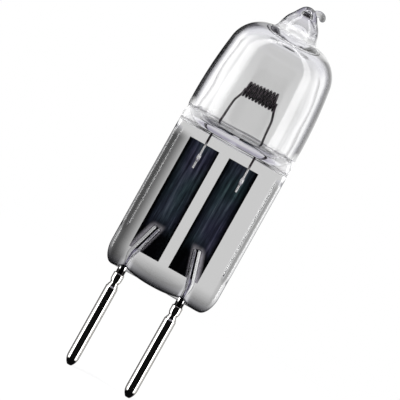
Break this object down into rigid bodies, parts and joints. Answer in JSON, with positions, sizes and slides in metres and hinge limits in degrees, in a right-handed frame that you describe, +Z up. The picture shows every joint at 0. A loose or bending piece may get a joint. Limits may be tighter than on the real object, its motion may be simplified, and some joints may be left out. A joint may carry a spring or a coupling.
{
  "type": "halogen capsule bulb",
  "caption": "Clear quartz halogen capsule with a crosswise coiled filament, a flat pressed seal and plug-in pins.",
  "frame": {"origin": "midway between the two pins, at the height where their wires leave the glass", "axes": "+Z up through the capsule to the exhaust tip, +X across the two pins, -Y towards the viewer of the picture"},
  "size_m": [0.0116, 0.0116, 0.041],
  "materials": {
    "quartz_glass": "clear",
    "tungsten": "drawn",
    "molybdenum_foil": "rolled",
    "molybdenum_wire": "drawn",
    "nickel": "bright turned"
  },
  "bodies": {
    "root": {"quartz_envelope": "quartz_glass", "filament": "tungsten", "foil_left": "molybdenum_foil", "foil_right": "molybdenum_foil", "outer_lead_left": "molybdenum_wire", "outer_lead_right": "molybdenum_wire", "pin_sleeve_left": "nickel", "pin_sleeve_right": "nickel"}
  },
  "joints": []
}
